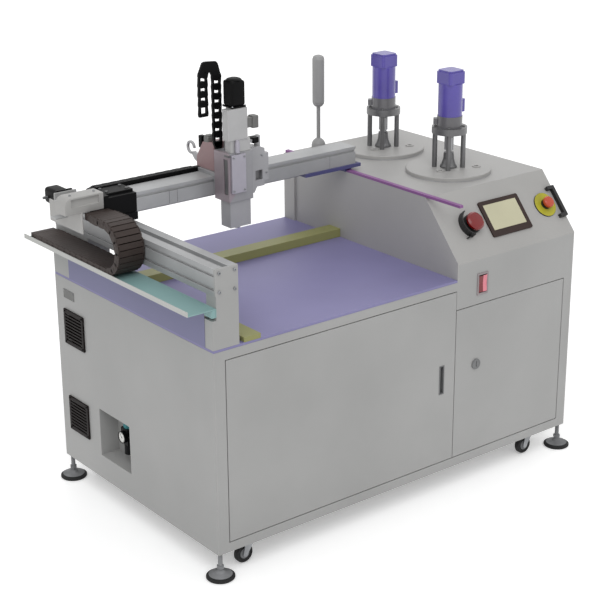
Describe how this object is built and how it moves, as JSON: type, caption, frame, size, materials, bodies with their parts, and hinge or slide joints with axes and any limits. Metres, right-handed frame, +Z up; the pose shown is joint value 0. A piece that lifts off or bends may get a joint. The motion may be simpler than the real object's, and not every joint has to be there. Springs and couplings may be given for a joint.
{
  "type": "two-component dispensing machine",
  "caption": "Floor-standing dispensing machine: cabinet with work table, three-axis gantry with ram, and a tower with stirred tanks and a sloped control panel.",
  "frame": {"origin": "middle of the bounding box, on the floor under the pads", "axes": "+Z up, -Y the front with the doors and controls, +X the tower's side"},
  "size_m": [1.7066, 1.0196, 1.475],
  "materials": {
    "cabinet_paint": "satin light grey powder coat",
    "tower_paint": "satin light grey powder coat",
    "frame_paint": "grey paint on steel channels",
    "table_violet": "satin violet coat",
    "bar_olive": "satin olive coat",
    "tray_teal": "satin teal coat",
    "rail_magenta": "satin magenta coat",
    "plate_navy": "satin navy coat",
    "motor_violet": "gloss violet motor paint",
    "chain_plastic": "dark brown-grey moulded plastic",
    "black_plastic": "black moulded plastic",
    "grey_plastic": "mid grey plastic",
    "black_metal": "black motor paint",
    "beam_metal": "clear anodised extrusion",
    "machined_metal": "milled plate",
    "dark_steel": "grey ground steel",
    "bright_steel": "brushed stainless steel",
    "zinc_steel": "zinc plated pressing",
    "carriage_rose": "satin grey-rose coat",
    "screen_case": "dark brown bezel with a pale screen",
    "button_red": "dark red moulding",
    "estop_red": "orange red moulding",
    "rocker_red": "translucent red rocker",
    "base_black": "black moulding",
    "knob_teal": "teal moulding",
    "foot_black": "black pad on a grey stem",
    "wheel_black": "black tyre on a grey hub",
    "lamp_grey": "grey moulding"
  },
  "bodies": {
    "machine": {"base_frame": "frame_paint", "left_side_panel": "cabinet_paint", "right_side_panel": "cabinet_paint", "front_fascia": "cabinet_paint", "rear_panel": "cabinet_paint", "tower_shell": "tower_paint", "work_table": "table_violet", "stop_bars": "bar_olive", "touch_screen": "screen_case", "panel_bases": "base_black", "signal_lamp": "lamp_grey", "tanks": "bright_steel", "tank_lids": "tower_paint", "agitator_stands": "dark_steel", "agitator_motors": "motor_violet", "metering_pumps": "machined_metal", "control_plate": "zinc_steel", "y_beam": "beam_metal", "beam_posts": "cabinet_paint", "y_motor": "black_metal", "chain_tray": "tray_teal", "y_chain": "chain_plastic", "right_rail": "rail_magenta", "fan_grilles": "black_plastic", "air_regulator": "black_plastic"},
    "gantry": {"y_carriage": "black_metal", "end_housing": "grey_plastic", "x_beam": "beam_metal", "right_runner": "plate_navy", "x_chain": "black_plastic"},
    "head": {"x_carriage": "carriage_rose", "z_housing": "machined_metal", "z_motor": "black_metal", "side_block": "machined_metal", "z_chain": "black_plastic"},
    "ram": {"z_ram": "machined_metal"},
    "wide_door": {"access_door": "cabinet_paint", "door_pull": "grey_plastic"},
    "tower_door": {"tower_door": "cabinet_paint"},
    "lock": {"door_lock": "grey_plastic"},
    "estop_head": {"estop_button": "estop_red"},
    "stop_head": {"stop_button": "button_red"},
    "rocker": {"switch_rocker": "rocker_red"},
    "agitator_front": {"agitator_shaft_a": "bright_steel"},
    "agitator_rear": {"agitator_shaft_b": "bright_steel"},
    "fan_low": {"fan_rotor_a": "black_plastic"},
    "fan_high": {"fan_rotor_b": "black_plastic"},
    "knob": {"regulator_knob": "knob_teal"},
    "foot_fl": {"foot_fl": "foot_black"},
    "fork_fl": {"caster_fork_fl": "zinc_steel"},
    "wheel_fl": {"caster_wheel_fl": "wheel_black"},
    "foot_fr": {"foot_fr": "foot_black"},
    "fork_fr": {"caster_fork_fr": "zinc_steel"},
    "wheel_fr": {"caster_wheel_fr": "wheel_black"},
    "foot_bl": {"foot_bl": "foot_black"},
    "fork_bl": {"caster_fork_bl": "zinc_steel"},
    "wheel_bl": {"caster_wheel_bl": "wheel_black"},
    "foot_br": {"foot_br": "foot_black"},
    "fork_br": {"caster_fork_br": "zinc_steel"},
    "wheel_br": {"caster_wheel_br": "wheel_black"}
  },
  "joints": [
    {"name": "y_slide", "type": "slide", "parent": "machine", "child": "gantry", "axis": [0, 1, 0], "range_m": [-0.2, 0.215], "deforming": ["y_chain"]},
    {"name": "x_slide", "type": "slide", "parent": "gantry", "child": "head", "axis": [1, 0, 0], "range_m": [-0.24, 0.38], "deforming": ["x_chain"]},
    {"name": "z_slide", "type": "slide", "parent": "head", "child": "ram", "axis": [0, 0, 1], "range_m": [-0.095, 0.03]},
    {"name": "wide_door_hinge", "type": "hinge", "parent": "machine", "child": "wide_door", "pos_m": [-0.62525, -0.47425, 0.41], "axis": [0, 0, -1], "range_deg": [0, 110]},
    {"name": "tower_door_hinge", "type": "hinge", "parent": "machine", "child": "tower_door", "pos_m": [0.77275, -0.47425, 0.38], "axis": [0, 0, 1], "range_deg": [0, 110]},
    {"name": "lock_turn", "type": "hinge", "parent": "tower_door", "child": "lock", "pos_m": [0.37425, -0.48025, 0.432], "axis": [0, 1, 0], "range_deg": [0, 90]},
    {"name": "estop_press", "type": "slide", "parent": "machine", "child": "estop_head", "axis": [0, 0.7561, -0.6545], "range_m": [0, 0.006], "stiffness_N_per_m": 1500, "springref_m": -0.003},
    {"name": "stop_press", "type": "slide", "parent": "machine", "child": "stop_head", "axis": [0, 0.7561, -0.6545], "range_m": [0, 0.006], "stiffness_N_per_m": 1500, "springref_m": -0.003},
    {"name": "rocker_tilt", "type": "hinge", "parent": "machine", "child": "rocker", "pos_m": [0.39275, -0.47125, 0.711], "axis": [1, 0, 0], "range_deg": [-7, 7]},
    {"name": "agitator_front_spin", "type": "hinge", "parent": "machine", "child": "agitator_front", "pos_m": [0.55975, -0.13125, 0.9], "axis": [0, 0, 1], "continuous": true},
    {"name": "agitator_rear_spin", "type": "hinge", "parent": "machine", "child": "agitator_rear", "pos_m": [0.57375, 0.22475, 0.9], "axis": [0, 0, 1], "continuous": true},
    {"name": "fan_low_spin", "type": "hinge", "parent": "machine", "child": "fan_low", "pos_m": [-0.66125, 0.30875, 0.26], "axis": [1, 0, 0], "continuous": true},
    {"name": "fan_high_spin", "type": "hinge", "parent": "machine", "child": "fan_high", "pos_m": [-0.66125, 0.30875, 0.571], "axis": [1, 0, 0], "continuous": true},
    {"name": "knob_turn", "type": "hinge", "parent": "machine", "child": "knob", "pos_m": [-0.63475, 0.07275, 0.31], "axis": [0, 0, 1], "range_deg": [-360, 360]},
    {"name": "foot_fl_screw", "type": "slide", "parent": "machine", "child": "foot_fl", "axis": [0, 0, -1], "range_m": [0, 0.025]},
    {"name": "swivel_fl", "type": "hinge", "parent": "machine", "child": "fork_fl", "pos_m": [-0.53625, -0.43525, 0.08], "axis": [0, 0, 1], "continuous": true},
    {"name": "roll_fl", "type": "hinge", "parent": "fork_fl", "child": "wheel_fl", "pos_m": [-0.55425, -0.43525, 0.034], "axis": [0, 1, 0], "continuous": true},
    {"name": "foot_fr_screw", "type": "slide", "parent": "machine", "child": "foot_fr", "axis": [0, 0, -1], "range_m": [0, 0.025]},
    {"name": "swivel_fr", "type": "hinge", "parent": "machine", "child": "fork_fr", "pos_m": [0.68375, -0.43525, 0.08], "axis": [0, 0, 1], "continuous": true},
    {"name": "roll_fr", "type": "hinge", "parent": "fork_fr", "child": "wheel_fr", "pos_m": [0.66575, -0.43525, 0.034], "axis": [0, 1, 0], "continuous": true},
    {"name": "foot_bl_screw", "type": "slide", "parent": "machine", "child": "foot_bl", "axis": [0, 0, -1], "range_m": [0, 0.025]},
    {"name": "swivel_bl", "type": "hinge", "parent": "machine", "child": "fork_bl", "pos_m": [-0.53625, 0.37475, 0.08], "axis": [0, 0, 1], "continuous": true},
    {"name": "roll_bl", "type": "hinge", "parent": "fork_bl", "child": "wheel_bl", "pos_m": [-0.55425, 0.37475, 0.034], "axis": [0, 1, 0], "continuous": true},
    {"name": "foot_br_screw", "type": "slide", "parent": "machine", "child": "foot_br", "axis": [0, 0, -1], "range_m": [0, 0.025]},
    {"name": "swivel_br", "type": "hinge", "parent": "machine", "child": "fork_br", "pos_m": [0.68375, 0.37475, 0.08], "axis": [0, 0, 1], "continuous": true},
    {"name": "roll_br", "type": "hinge", "parent": "fork_br", "child": "wheel_br", "pos_m": [0.66575, 0.37475, 0.034], "axis": [0, 1, 0], "continuous": true}
  ]
}
